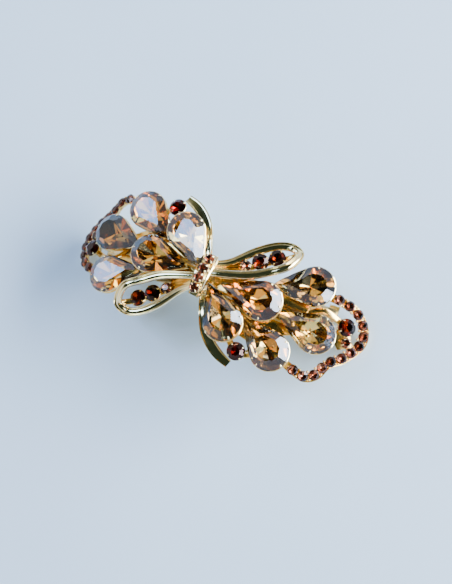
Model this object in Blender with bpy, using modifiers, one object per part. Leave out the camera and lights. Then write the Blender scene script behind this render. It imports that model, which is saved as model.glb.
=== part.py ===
"""Rhinestone bow hair clip: glass stones in two gold castings on a spring barrette.

Lengths in the tables below are millimetres and angles are degrees; the model is in metres, +Z up.
X runs along the clip, from the hinge to the latch. The decoration repeats when turned half a turn
about Z. The closed clip rests on its clasp arm at z = 0.
"""

import math

import bmesh
import bpy
from mathutils import Matrix, Vector

MM = 0.001
SHARP_ANGLE = 50.0

# The domed surface through the stones' girdles, measured from its apex on the Z axis.
APEX = 16.8
DOME_RADIUS_X = 94.0
DOME_RADIUS_Y = 101.5
DOME_DROOP = 2.41e-6
STEEPEST_SETTING = 0.5

# Stones: a pear is PEAR_LENGTH long and 2 * PEAR_RADIUS wide, a round stone is cut in flat sides.
PEAR_RADIUS = 4.8
PEAR_LENGTH = 15.3
PEAR_CROWN = 1.8
PEAR_PAVILION = 2.9
PEAR_FOCUS = 2.0
GIRDLE = 0.3
RED_RADIUS = 2.1
LOOP_STONE_RADIUS = 1.95
LOOP_SMALL_RADIUS = 1.3
CHAIN_STONE_RADIUS = 1.15
KNOT_STONE_RADIUS = 1.15
BIG_STONE_SIDES = 12
SMALL_STONE_SIDES = 8

# Settings: every stone stands this far clear of the metal that carries it.
SEAT_GAP = 0.45
CUP_RIM = 0.35
CUP_ROOT = 0.3
CUP_SIDES = 16
CUP_DEPTH = 2.3
WEB_THICKNESS = 0.5
POST_WIDTH = 1.0
POST_TOP = 2.6
RIB_LIFT = -3.3
RIB_THICKNESS = 0.8
CHAIN_STRIP_LIFT = -1.75
CHAIN_STRIP_WIDTH = 2.9
CHAIN_STRIP_THICKNESS = 0.7

# Barrette: heights above the resting plane, measured at x = 0 where the strips are arched.
BASE_TOP = 12.5
BASE_ARCH_RADIUS = 67.0
BASE_THICKNESS = 0.8
BASE_WIDTH = 8.0
BASE_END = 31.0
HINGE_X = -31.5
HINGE_Z = 2.6
PIN_RADIUS = 0.5
PIN_LENGTH = 8.4
BORE_RADIUS = 0.8
KNUCKLE_RADIUS = 1.3
EAR_INNER = 3.0
EAR_THICKNESS = 0.8
EAR_REACH = 1.6
EAR_DROP = 1.4
EAR_TOP = 4.9
ARM_WIDTH = 5.4
ARM_THICKNESS = 0.9
ARM_ARCH_HEIGHT = 3.0
ARM_ARCH_END = 22.5
ARM_FOOT_END = 26.5
ARM_TIP_END = 34.0
ARM_TIP_LIFT = 1.9
ARM_STEP = 1.8
KNUCKLE_SLOT_WIDTH = 3.0
LATCH_SLOT_LENGTH = 3.4
LATCH_SLOT_WIDTH = 4.2
TENSION_WIDTH = 4.4
TENSION_THICKNESS = 0.4
TENSION_TOP = 5.6
TENSION_BOW_RADIUS = 260.0
TENSION_END = 25.5
TENSION_KNUCKLE_RADIUS = 1.2
TENSION_KNUCKLE_WIDTH = 2.4
TENSION_NECK_LENGTH = 2.2
TAB_X = 30.4
TAB_TOP = 4.3
TAB_LENGTH = 2.6
TAB_PIVOT_Y = 1.25
THROUGH = 10.0

# Every pear of one wing: plan place of its round end, heading of its tip, lift of each end.
PEARS = (
    (8.45, -9.2, 131.5, 2.2, 0.7),
    (15.7, -1.3, 177.6, 2.0, 1.0),
    (26.0, 6.6, 199.0, 1.8, 0.4),
    (29.7, -4.25, 171.0, 2.1, 0.6),
    (21.15, -12.05, 147.0, 2.3, 0.5),
)
RED_STONE = (13.6, -14.8, 1.4)
DARK_RED_STONE = (35.5, 0.45, 0.4)
WING_SMALL_STONE = (36.35, -3.1, 0.3)
LOOP_STONES = (
    (8.6, 5.7, 0.3, LOOP_SMALL_RADIUS),
    (11.65, 7.85, 0.3, LOOP_STONE_RADIUS),
    (15.15, 10.1, 0.3, LOOP_STONE_RADIUS),
)
KNOT_STONES = ((0.19, 1.23, 4.5), (0.56, 3.89, 3.8))
CHAIN_STONE_COUNT = 13

# Routes are rows of plan x, plan y, lift above the dome, width and thickness.
CHAIN_ROUTE = (
    (31.8, 6.05),
    (36.1, 5.1),
    (39.0, 1.7),
    (39.3, -2.2),
    (36.7, -6.8),
    (33.8, -9.6),
    (32.2, -13.0),
    (29.9, -14.6),
    (27.1, -14.05),
)
LOOP_ROUTE = (
    (0.6, 2.9, 2.4, 1.5, 1.2),
    (4.8, 5.3, 0.3, 1.8, 1.3),
    (9.5, 10.0, -0.7, 2.2, 1.3),
    (13.7, 13.0, -0.8, 2.2, 1.3),
    (17.3, 13.9, -0.3, 2.2, 1.3),
    (20.0, 12.5, 1.0, 2.1, 1.3),
    (18.8, 8.5, 2.9, 2.1, 1.3),
    (14.5, 5.5, 2.1, 2.1, 1.3),
    (9.6, 3.0, 2.2, 2.1, 1.3),
    (0.9, 0.7, 2.5, 1.6, 1.2),
)
LOOP_BRIDGE = (
    (1.2, 1.9, 2.3, 1.4, 0.9),
    (5.2, 3.6, -0.4, 1.6, 0.9),
    (8.5, 5.6, -1.9, 1.6, 0.9),
    (15.0, 9.9, -1.9, 1.6, 0.9),
    (18.0, 11.6, -1.0, 1.6, 0.9),
    (19.7, 12.6, 0.8, 1.4, 0.9),
)
KNOT_BAND = (
    (0.75, 5.4, 1.4, 2.6, 1.0),
    (0.55, 4.0, 1.9, 4.0, 1.2),
    (0.2, 1.4, 2.9, 4.4, 1.2),
    (-0.2, -1.4, 2.9, 4.4, 1.2),
    (-0.55, -4.0, 1.9, 4.0, 1.2),
    (-0.75, -5.4, 1.4, 2.6, 1.0),
)
TAIL_ROUTE = (
    (1.4, -1.7, RIB_LIFT + 0.3, 2.0, 1.0),
    (0.9, -3.8, -1.0, 2.0, 1.0),
    (2.4, -8.0, -0.3, 2.2, 1.0),
    (4.1, -11.8, -0.3, 2.3, 1.0),
    (6.3, -14.5, -0.3, 2.4, 1.0),
    (9.2, -16.7, -0.3, 2.4, 1.0),
    (12.4, -18.1, -0.4, 1.9, 0.9),
)
MAIN_RIB = (
    (-24.5, 3.0, RIB_LIFT - 0.3, 3.0, RIB_THICKNESS),
    (-14.0, 1.0, RIB_LIFT, 3.6, RIB_THICKNESS),
    (0.0, 0.0, RIB_LIFT, 4.0, RIB_THICKNESS),
    (14.0, -1.0, RIB_LIFT, 3.6, RIB_THICKNESS),
    (24.5, -3.0, RIB_LIFT - 0.3, 3.0, RIB_THICKNESS),
)
SIDE_RIBS = (
    (
        (0.5, -0.5, RIB_LIFT, 2.4, RIB_THICKNESS),
        (5.0, -5.8, RIB_LIFT, 2.4, RIB_THICKNESS),
        (11.5, -9.2, RIB_LIFT, 2.4, RIB_THICKNESS),
        (18.0, -10.6, RIB_LIFT - 0.3, 2.4, RIB_THICKNESS),
    ),
    (
        (12.0, -0.8, RIB_LIFT, 2.4, RIB_THICKNESS),
        (18.0, 3.0, RIB_LIFT, 2.4, RIB_THICKNESS),
        (23.5, 5.6, RIB_LIFT - 0.3, 2.4, RIB_THICKNESS),
    ),
)
STRUTS = (
    (
        (23.6, -2.4, RIB_LIFT - 0.3, 1.8, 0.9),
        (26.6, 1.0, -2.6, 1.6, 0.9),
        (29.6, 2.3, -1.5, 1.6, 0.9),
        (34.8, 0.7, -2.0, 1.6, 0.9),
    ),
    ((35.2, 0.2, -2.1, 2.2, 0.8), (36.4, -3.0, -1.8, 2.2, 0.8), (38.6, -4.2, -1.7, 1.8, 0.7)),
    ((8.8, -11.0, -2.4, 1.6, 0.9), (13.6, -14.8, -0.9, 1.8, 0.9), (18.9, -12.8, -2.2, 1.6, 0.9)),
)

WEBS = (
    (
        (3.0, -3.2, -1.6, 1.6, WEB_THICKNESS),
        (9.0, -4.6, -2.0, 3.0, WEB_THICKNESS),
        (15.0, -5.8, -2.0, 4.0, WEB_THICKNESS),
        (19.5, -6.0, -2.2, 3.8, WEB_THICKNESS),
        (24.0, -5.0, -2.8, 2.0, WEB_THICKNESS),
    ),
    (
        (4.0, 0.4, -1.6, 1.6, WEB_THICKNESS),
        (12.0, 1.8, -2.0, 3.0, WEB_THICKNESS),
        (18.0, 2.2, -2.2, 4.0, WEB_THICKNESS),
        (25.5, 1.6, -2.4, 3.4, WEB_THICKNESS),
    ),
)
GORE = (
    (1.2, 2.0, 1.7, 1.6, WEB_THICKNESS),
    (4.2, 3.4, 0.6, 2.8, WEB_THICKNESS),
    (6.4, 4.7, -0.8, 3.8, WEB_THICKNESS),
)

# Section of the front pinch tab as y and z: a leg, a nose under the arm and an ear to squeeze.
TAB_OUTLINE = (
    (1.0, TAB_TOP),
    (1.0, 0.9),
    (1.75, 0.9),
    (1.75, 1.4),
    (1.5, 1.6),
    (1.5, 3.4),
    (5.2, 3.4),
    (5.2, 3.9),
    (1.5, 3.9),
    (1.5, TAB_TOP),
)

GOLD = ("pale_gold", (0.83, 0.66, 0.36), 0.18, 1.0)
STEEL = ("gold_plated_steel", (0.78, 0.66, 0.42), 0.3, 1.0)
CHAMPAGNE = ("champagne_glass", (0.62, 0.38, 0.17), 0.05, 0.0)
GARNET = ("garnet_glass", (0.22, 0.01, 0.01), 0.05, 0.0)
DARK_TOPAZ = ("dark_topaz_glass", (0.1, 0.02, 0.01), 0.05, 0.0)
MOCHA = ("mocha_glass", (0.34, 0.16, 0.1), 0.08, 0.0)

HALF_TURN = Matrix.Rotation(math.pi, 4, "Z")
SIDES = (("right", Matrix.Identity(4)), ("left", HALF_TURN))


def clear_scene():
    for obj in list(bpy.data.objects):
        bpy.data.objects.remove(obj, do_unlink=True)


def make_collection(name, hidden=False):
    collection = bpy.data.collections.new(name)
    bpy.context.scene.collection.children.link(collection)
    collection.hide_render = hidden
    return collection


def material(finish):
    name, colour, roughness, metallic = finish
    found = bpy.data.materials.get(name)
    if found:
        return found
    made = bpy.data.materials.new(name)
    made.use_nodes = True
    shader = made.node_tree.nodes["Principled BSDF"]
    shader.inputs["Base Color"].default_value = (*colour, 1.0)
    shader.inputs["Roughness"].default_value = roughness
    shader.inputs["Metallic"].default_value = metallic
    made.diffuse_color = (*colour, 1.0)
    return made


def add_object(name, mesh, finish, matrix=None):
    obj = bpy.data.objects.new(name, mesh)
    if not mesh.materials:
        mesh.materials.append(material(finish))
    if matrix is not None:
        obj.matrix_world = matrix
    clip_parts.objects.link(obj)
    return obj


# ---------------------------------------------------------------- the domed surface


def dome(x, y):
    """Height of the girdle surface over plan (x, y), in millimetres."""
    fall = x * x / (2 * DOME_RADIUS_X) + DOME_DROOP * x**4 + y * y / (2 * DOME_RADIUS_Y)
    return APEX - fall


def normal(x, y):
    """Direction that a setting faces over plan (x, y)."""
    slope_x = x / DOME_RADIUS_X + 4 * DOME_DROOP * x**3
    slope_x = max(-STEEPEST_SETTING, min(STEEPEST_SETTING, slope_x))
    return Vector((slope_x, y / DOME_RADIUS_Y, 1.0)).normalized()


def at(x, y, lift=0.0):
    """The point over plan (x, y) at a lift above the dome, in metres."""
    return Vector((x, y, dome(x, y) + lift)) * MM


def setting(x, y, lift):
    """Frame of a round stone: its local Z is the dome's normal."""
    up = normal(x, y)
    turn = Vector((0.0, 0.0, 1.0)).rotation_difference(up)
    return Matrix.Translation(at(x, y, lift)) @ turn.to_matrix().to_4x4()


def pear_frame(x, y, heading, end_lift, tip_lift):
    """Frame of a pear stone: origin at the round end's centre, local X towards the tip."""
    reach = PEAR_LENGTH - PEAR_RADIUS
    angle = math.radians(heading)
    tip_x = x + reach * math.cos(angle)
    tip_y = y + reach * math.sin(angle)
    end = at(x, y, end_lift)
    along = (at(tip_x, tip_y, tip_lift) - end).normalized()
    across = normal((x + tip_x) / 2, (y + tip_y) / 2).cross(along).normalized()
    up = along.cross(across)
    turn = Matrix((along, across, up)).transposed()
    return Matrix.Translation(end) @ turn.to_4x4()


# ---------------------------------------------------------------- shape tools


def smooth_rows(rows, per_span):
    """Rows of numbers joined by a Catmull-Rom curve with per_span steps between two rows."""
    rows = [Vector(row) for row in rows]
    ends = [2 * rows[0] - rows[1], *rows, 2 * rows[-1] - rows[-2]]
    found = []
    for a, b, c, d in zip(ends, ends[1:], ends[2:], ends[3:]):
        for step in range(per_span):
            t = step / per_span
            found.append(
                b + 0.5 * t * (c - a + t * (2 * a - 5 * b + 4 * c - d + t * (3 * b - 3 * c + d - a)))
            )
    return [*found, rows[-1]]


def evenly(points, count):
    """count points at equal steps along a route."""
    lengths = [(b - a).length for a, b in zip(points, points[1:])]
    total = sum(lengths)
    found = []
    for index in range(count):
        left = total * index / (count - 1)
        span = 0
        while span < len(lengths) - 1 and left > lengths[span]:
            left -= lengths[span]
            span += 1
        found.append(points[span].lerp(points[span + 1], left / lengths[span]))
    return found


def shade_round(mesh):
    """Smooth shading with the real corners left sharp."""
    mesh.shade_smooth()
    mesh.set_sharp_from_angle(angle=math.radians(SHARP_ANGLE))
    return mesh


def loft(name, rings):
    """Closed mesh through rings of equal count, in metres, with a flat cap at each end."""
    bm = bmesh.new()
    loops = [[bm.verts.new(point) for point in ring] for ring in rings]
    for lower, upper in zip(loops, loops[1:]):
        for i, vert in enumerate(lower):
            j = (i + 1) % len(lower)
            bm.faces.new((vert, lower[j], upper[j], upper[i]))
    bm.faces.new(reversed(loops[0]))
    bm.faces.new(loops[-1])
    bmesh.ops.recalc_face_normals(bm, faces=bm.faces)
    mesh = bpy.data.meshes.new(name)
    bm.to_mesh(mesh)
    bm.free()
    return mesh


def ribbon(name, rows, per_span=3, sides=8):
    """Strip with a rounded section that follows a route over the dome."""
    stations = []
    for x, y, lift, width, thickness in smooth_rows(rows, per_span):
        stations.append((at(x, y, lift), normal(x, y), width * MM, thickness * MM))
    places = [station[0] for station in stations]
    rings = []
    for index, (place, up, width, thickness) in enumerate(stations):
        before = places[max(index - 1, 0)]
        after = places[min(index + 1, len(places) - 1)]
        along = (after - before).normalized()
        across = along.cross(up).normalized()
        up = across.cross(along)
        ring = []
        for side in range(sides):
            angle = 2 * math.pi * (side + 0.5) / sides
            flat = 1 / math.cos(math.pi / sides)
            ring.append(
                place
                + across * (0.5 * width * flat * math.cos(angle))
                + up * (0.5 * thickness * flat * math.sin(angle))
            )
        rings.append(ring)
    return shade_round(loft(name, rings))


def pear_outline():
    """Pear in plan, in millimetres: a round end on the origin and flanks that meet at +X."""
    reach = PEAR_LENGTH - PEAR_RADIUS
    tangent = math.acos(PEAR_RADIUS / reach)
    touch = Vector((math.cos(tangent), math.sin(tangent))) * PEAR_RADIUS
    flank = Vector((reach, 0.0)) - touch
    outward = Vector((math.cos(tangent), math.sin(tangent)))
    upper = [touch + flank * part + outward * bulge for part, bulge in ((0.67, 0.2), (0.34, 0.25))]
    arc_steps = 10
    arc = []
    for step in range(arc_steps + 1):
        angle = tangent + 2 * (math.pi - tangent) * step / arc_steps
        arc.append(Vector((math.cos(angle), math.sin(angle))) * PEAR_RADIUS)
    lower = [Vector((point.x, -point.y)) for point in reversed(upper)]
    return [Vector((reach, 0.0)), *upper, *arc, *lower]


def pear_rings(levels):
    """Rings of the pear outline at (scale, height) levels, drawn in about its focus."""
    rings = []
    for scale, height in levels:
        ring = []
        for point in pear_outline():
            x = PEAR_FOCUS + (point.x - PEAR_FOCUS) * scale
            ring.append(Vector((x, point.y * scale, height)) * MM)
        rings.append(ring)
    return rings


def profile_mesh(name, profile):
    """Line through (radius, height) points in millimetres, to be turned about Z."""
    bm = bmesh.new()
    verts = [bm.verts.new((radius * MM, 0.0, height * MM)) for radius, height in profile]
    for a, b in zip(verts, verts[1:]):
        bm.edges.new((a, b))
    mesh = bpy.data.meshes.new(name)
    bm.to_mesh(mesh)
    bm.free()
    return mesh


def add_turned(name, mesh, steps, finish, matrix, smooth=False):
    """Object turned about its local Z from a profile, in a number of steps."""
    obj = add_object(name, mesh, finish, matrix)
    screw = obj.modifiers.new("turn", "SCREW")
    screw.steps = steps
    screw.render_steps = steps
    screw.use_merge_vertices = True
    screw.merge_threshold = 0.00001
    screw.use_smooth_shade = smooth
    return obj


def hide_as_tool(obj):
    """Keep an object only as an operand of other pieces."""
    clip_parts.objects.unlink(obj)
    clip_tools.objects.link(obj)
    obj.hide_render = True
    obj.display_type = "WIRE"
    return obj


def combine(obj, tool, operation):
    modifier = obj.modifiers.new(operation.lower(), "BOOLEAN")
    modifier.operation = operation
    modifier.solver = "EXACT"
    modifier.object = hide_as_tool(tool)


def unite(obj, tools):
    """Fuse one-body tools to an object, each with its own union."""
    for tool in tools:
        combine(obj, tool, "UNION")


def box(name, low, high, finish):
    """Box between two corners in millimetres."""
    bm = bmesh.new()
    bmesh.ops.create_cube(bm, size=1.0)
    size = [(b - a) * MM for a, b in zip(low, high)]
    bmesh.ops.scale(bm, vec=size, verts=bm.verts)
    mesh = bpy.data.meshes.new(name)
    bm.to_mesh(mesh)
    bm.free()
    centre = Vector([(a + b) / 2 * MM for a, b in zip(low, high)])
    return add_object(name, mesh, finish, Matrix.Translation(centre))


def cross_cylinder(name, radius, width, finish, sides=20):
    """Cylinder along Y, centred on the hinge axis, in millimetres."""
    bm = bmesh.new()
    bmesh.ops.create_cone(
        bm,
        cap_ends=True,
        segments=sides,
        radius1=radius * MM,
        radius2=radius * MM,
        depth=width * MM,
    )
    mesh = bpy.data.meshes.new(name)
    bm.to_mesh(mesh)
    bm.free()
    place = Matrix.Translation(Vector((HINGE_X, 0.0, HINGE_Z)) * MM)
    upright = Matrix.Rotation(math.pi / 2, 4, "X")
    return add_object(name, shade_round(mesh), finish, place @ upright)


def plate(name, heights, width, thickness, finish, origin=(0.0, 0.0)):
    """Flat spring strip: stations of x and underside z in millimetres, thickened upwards."""
    bm = bmesh.new()
    rows = []
    for x, z in heights:
        place = Vector((x - origin[0], 0.0, z - origin[1])) * MM
        half = Vector((0.0, width / 2, 0.0)) * MM
        rows.append((bm.verts.new(place - half), bm.verts.new(place + half)))
    for (a, b), (c, d) in zip(rows, rows[1:]):
        bm.faces.new((a, c, d, b))
    mesh = bpy.data.meshes.new(name)
    bm.to_mesh(mesh)
    bm.free()
    place = Vector((origin[0], 0.0, origin[1])) * MM
    obj = add_object(name, mesh, finish, Matrix.Translation(place))
    solid = obj.modifiers.new("thickness", "SOLIDIFY")
    solid.thickness = thickness * MM
    solid.offset = 1.0
    return obj


# ---------------------------------------------------------------- stones


def make_pear_stones():
    levels = (
        (0.1, -PEAR_PAVILION),
        (1.0, -GIRDLE / 2),
        (1.0, GIRDLE / 2),
        (0.8, 0.62 * PEAR_CROWN),
        (0.52, PEAR_CROWN),
    )
    mesh = loft("pear_stone", pear_rings(levels))
    for side, turn in SIDES:
        for index, row in enumerate(PEARS, 1):
            add_object(f"pear_stone_{side}_{index}", mesh, CHAMPAGNE, turn @ pear_frame(*row))


def round_stone(name, radius):
    """Profile of a round stone: flat table, crown, girdle and a pointed pavilion."""
    profile = (
        (0.0, 0.42 * radius),
        (0.55 * radius, 0.42 * radius),
        (radius, 0.08 * radius),
        (radius, -0.08 * radius),
        (0.0, -0.62 * radius),
    )
    return profile_mesh(name, profile)


def make_round_stones():
    big = BIG_STONE_SIDES
    few = SMALL_STONE_SIDES
    red = round_stone("red_stone", RED_RADIUS)
    loop_stone = round_stone("loop_stone", LOOP_STONE_RADIUS)
    loop_small = round_stone("loop_small_stone", LOOP_SMALL_RADIUS)
    small = round_stone("chain_stone", CHAIN_STONE_RADIUS)
    knot = round_stone("knot_stone", KNOT_STONE_RADIUS)
    route = [Vector(row[:2]) for row in smooth_rows(CHAIN_ROUTE, 6)]
    chain_places = evenly(route, CHAIN_STONE_COUNT)
    for side, turn in SIDES:
        add_turned(f"red_stone_{side}", red, big, GARNET, turn @ setting(*RED_STONE))
        add_turned(f"dark_red_stone_{side}", red, big, DARK_TOPAZ, turn @ setting(*DARK_RED_STONE))
        add_turned(f"wing_small_stone_{side}", small, few, MOCHA, turn @ setting(*WING_SMALL_STONE))
        for index, (x, y, lift, radius) in enumerate(LOOP_STONES, 1):
            name = f"loop_stone_{side}_{index}"
            if radius == LOOP_SMALL_RADIUS:
                add_turned(name, loop_small, few, MOCHA, turn @ setting(x, y, lift))
            else:
                add_turned(name, loop_stone, big, DARK_TOPAZ, turn @ setting(x, y, lift))
        for index, (x, y) in enumerate(chain_places, 1):
            add_turned(f"chain_stone_{side}_{index:02d}", small, few, MOCHA, turn @ setting(x, y, 0.0))
        for index, row in enumerate(KNOT_STONES, 1):
            add_turned(f"knot_stone_{side}_{index}", knot, few, MOCHA, turn @ setting(*row))


# ---------------------------------------------------------------- castings


def pear_cup(name, row):
    """Cup of one pear stone, deep enough to stand on the rib below it."""
    depth = (row[3] + row[4]) / 2 - RIB_LIFT + CUP_ROOT
    levels = (
        (0.45, -depth),
        (1 + CUP_RIM / PEAR_RADIUS, -GIRDLE / 2 - SEAT_GAP),
        (0.957, -GIRDLE / 2 - SEAT_GAP),
        (0.2, -PEAR_PAVILION - SEAT_GAP),
    )
    return add_object(name, loft(name, pear_rings(levels)), GOLD, pear_frame(*row))


def round_cup(name, radius, row):
    """Cup of one round stone."""
    top = -0.08 * radius - SEAT_GAP
    profile = (
        (0.0, -0.62 * radius - SEAT_GAP),
        (0.9 * radius, top),
        (radius + CUP_RIM, top),
        (0.7 * radius, -CUP_DEPTH),
        (0.0, -CUP_DEPTH),
    )
    return add_turned(name, profile_mesh(name, profile), CUP_SIDES, GOLD, setting(*row), True)


def strip(name, rows, per_span, sides, turn=None):
    """Ribbon of a casting, added as an object."""
    return add_object(name, ribbon(name, rows, per_span, sides), GOLD, turn)


def chain_strip(name):
    """Open ring of strip under the chain stones, run into the two cups it springs from."""
    size = (CHAIN_STRIP_WIDTH, CHAIN_STRIP_THICKNESS)
    rows = [(x, y, CHAIN_STRIP_LIFT, *size) for x, y in CHAIN_ROUTE]
    start = (27.7, 6.1, CHAIN_STRIP_LIFT - 1.1, 1.8, CHAIN_STRIP_THICKNESS)
    finish = (22.8, -12.5, CHAIN_STRIP_LIFT - 1.1, 1.8, CHAIN_STRIP_THICKNESS)
    return strip(name, [start, *rows, finish], 3, 6)


def wing_half(side, turn):
    """The parts of the wing casting on one side, still separate."""
    parts = [pear_cup(f"cup_{side}_{index}", row) for index, row in enumerate(PEARS, 1)]
    parts.append(round_cup(f"red_cup_{side}", RED_RADIUS, RED_STONE))
    parts.append(round_cup(f"dark_red_cup_{side}", RED_RADIUS, DARK_RED_STONE))
    parts.append(chain_strip(f"chain_strip_{side}"))
    parts.append(strip(f"tail_{side}", TAIL_ROUTE, 3, 6))
    for kind, group in (("rib", SIDE_RIBS), ("strut", STRUTS), ("web", WEBS)):
        for index, rows in enumerate(group, 1):
            parts.append(strip(f"{kind}_{side}_{index}", rows, 2, 4))
    for part in parts:
        part.matrix_world = turn @ part.matrix_world
    return parts


def make_wing_casting():
    casting = strip("wing_casting", MAIN_RIB, 3, 4)
    for side, turn in SIDES:
        unite(casting, wing_half(side, turn))


def make_bow_casting():
    casting = strip("bow_casting", KNOT_BAND, 3, 8)
    for side, turn in SIDES:
        loop = strip(f"loop_{side}", LOOP_ROUTE, 3, 8, turn)
        bridge = strip(f"bridge_{side}", LOOP_BRIDGE, 2, 4, turn)
        gore = strip(f"gore_{side}", GORE, 2, 4, turn)
        unite(casting, (loop, bridge, gore))
    half = POST_WIDTH / 2
    foot = APEX + RIB_LIFT + RIB_THICKNESS / 2 + SEAT_GAP
    post = box("bow_post", (-half, -half, foot), (half, half, APEX + POST_TOP), GOLD)
    unite(casting, (post,))


# ---------------------------------------------------------------- barrette


def base_underside(x):
    return BASE_TOP - BASE_THICKNESS - x * x / (2 * BASE_ARCH_RADIUS)


def arm_underside(x):
    """Arched middle, a flat foot at each side of it, and raised ends at the hinge and the latch."""
    if abs(x) <= ARM_ARCH_END:
        return ARM_ARCH_HEIGHT * (1 - (x / ARM_ARCH_END) ** 2)
    if abs(x) <= ARM_FOOT_END:
        return 0.0
    rise = min(1.0, (abs(x) - ARM_FOOT_END) / ARM_STEP)
    return ARM_TIP_LIFT * rise


def make_base_bar():
    steps = 16
    stations = [BASE_END * (2 * step / steps - 1) for step in range(steps + 1)]
    heights = [(x, base_underside(x)) for x in stations]
    bar = plate("base_bar", heights, BASE_WIDTH, BASE_THICKNESS, STEEL)
    ears = []
    for side, sign in (("front", -1), ("back", 1)):
        near, far = sorted((sign * EAR_INNER, sign * (EAR_INNER + EAR_THICKNESS)))
        low = (HINGE_X - EAR_REACH, near, HINGE_Z - EAR_DROP)
        high = (HINGE_X + EAR_REACH, far, EAR_TOP)
        ears.append(box(f"ear_{side}", low, high, STEEL))
    unite(bar, ears)
    combine(bar, cross_cylinder("ear_bore", BORE_RADIUS, THROUGH, STEEL), "DIFFERENCE")


def make_hinge_pin():
    cross_cylinder("hinge_pin", PIN_RADIUS, PIN_LENGTH, STEEL)


def through_cut(name, x_low, x_high, y_low, y_high):
    """Tool that cuts straight down through the arm or the tension bar."""
    return box(name, (x_low, y_low, -THROUGH / 2), (x_high, y_high, THROUGH), STEEL)


def make_clasp_arm():
    half = [ARM_ARCH_END * step / 6 for step in range(7)]
    stations = [*(-x for x in reversed(half)), *half[1:]]
    shoulder = ARM_FOOT_END + ARM_STEP
    stations = [HINGE_X, -shoulder, -ARM_FOOT_END, *stations, ARM_FOOT_END, shoulder, ARM_TIP_END]
    heights = [(x, arm_underside(x)) for x in stations]
    arm = plate("clasp_arm", heights, ARM_WIDTH, ARM_THICKNESS, STEEL, (HINGE_X, HINGE_Z))
    unite(arm, (cross_cylinder("arm_knuckle", KNUCKLE_RADIUS, ARM_WIDTH - 0.04, STEEL),))
    gap = KNUCKLE_SLOT_WIDTH / 2
    slot_x = LATCH_SLOT_LENGTH / 2
    slot_y = LATCH_SLOT_WIDTH / 2
    cuts = (
        through_cut("knuckle_gap", HINGE_X - 2.0, HINGE_X + 1.6, -gap, gap),
        through_cut("latch_slot", TAB_X - slot_x, TAB_X + slot_x, -slot_y, slot_y),
        cross_cylinder("arm_bore", BORE_RADIUS, THROUGH, STEEL),
    )
    for cut in cuts:
        combine(arm, cut, "DIFFERENCE")


def make_tension_bar():
    steps = 8
    start = HINGE_X
    stations = [start + (TENSION_END - start) * step / steps for step in range(steps + 1)]
    heights = [(x, TENSION_TOP - x * x / (2 * TENSION_BOW_RADIUS)) for x in stations]
    heights[0] = (start, HINGE_Z + TENSION_KNUCKLE_RADIUS - TENSION_THICKNESS)
    bar = plate("tension_bar", heights, TENSION_WIDTH, TENSION_THICKNESS, STEEL, (HINGE_X, HINGE_Z))
    for side, sign in (("front", -1), ("back", 1)):
        near, far = sorted((sign * TENSION_KNUCKLE_WIDTH / 2, sign * TENSION_WIDTH))
        neck = through_cut(f"neck_{side}", start - 2.0, start + TENSION_NECK_LENGTH, near, far)
        combine(bar, neck, "DIFFERENCE")
    knuckle_width = TENSION_KNUCKLE_WIDTH - 0.04
    unite(bar, (cross_cylinder("tension_knuckle", TENSION_KNUCKLE_RADIUS, knuckle_width, STEEL),))
    combine(bar, cross_cylinder("tension_bore", BORE_RADIUS, THROUGH, STEEL), "DIFFERENCE")


def make_pinch_tabs():
    """Two spring tabs whose legs pass through the arm's slot and whose ears are squeezed."""
    for side, sign in (("front", -1), ("back", 1)):
        rings = []
        for x in (-TAB_LENGTH / 2, TAB_LENGTH / 2):
            ring = [(x, sign * (y - TAB_PIVOT_Y), z - TAB_TOP) for y, z in TAB_OUTLINE]
            rings.append([Vector(point) * MM for point in ring])
        place = Vector((TAB_X, sign * TAB_PIVOT_Y, TAB_TOP)) * MM
        name = f"pinch_tab_{side}"
        add_object(name, loft(name, rings), STEEL, Matrix.Translation(place))


clear_scene()
clip_parts = make_collection("rhinestone_hair_clip")
clip_tools = make_collection("clip_tools", hidden=True)
make_pear_stones()
make_round_stones()
make_wing_casting()
make_bow_casting()
make_base_bar()
make_hinge_pin()
make_clasp_arm()
make_tension_bar()
make_pinch_tabs()
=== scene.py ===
"""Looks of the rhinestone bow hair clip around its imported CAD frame.

Tables are millimetres and degrees in the CAD frame; pieces are built in metres.
"""

import math
import random

import bmesh
import bpy
from mathutils import Matrix, Vector


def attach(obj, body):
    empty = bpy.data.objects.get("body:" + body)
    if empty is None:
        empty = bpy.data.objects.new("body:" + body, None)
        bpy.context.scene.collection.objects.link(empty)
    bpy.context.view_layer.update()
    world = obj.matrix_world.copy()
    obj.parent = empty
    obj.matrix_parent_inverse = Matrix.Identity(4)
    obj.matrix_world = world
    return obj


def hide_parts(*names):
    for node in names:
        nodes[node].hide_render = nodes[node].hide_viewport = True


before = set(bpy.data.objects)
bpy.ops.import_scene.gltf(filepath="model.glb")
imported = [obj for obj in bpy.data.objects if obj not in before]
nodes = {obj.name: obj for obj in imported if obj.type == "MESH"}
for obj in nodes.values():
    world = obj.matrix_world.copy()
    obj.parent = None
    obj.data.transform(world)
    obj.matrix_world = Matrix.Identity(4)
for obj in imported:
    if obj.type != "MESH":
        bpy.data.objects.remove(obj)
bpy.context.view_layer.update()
MM = 0.001
DECORATION = "decoration"

# Corners sharper than this many degrees stay sharp on each kind of metal piece.
BARRETTE_CORNER = 35.0
CUP_CORNER = 35.0
STRIP_CORNER = 38.0
PLEAT_CORNER = 20.0

# ---------------------------------------------------------------- the layout of the decoration

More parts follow.
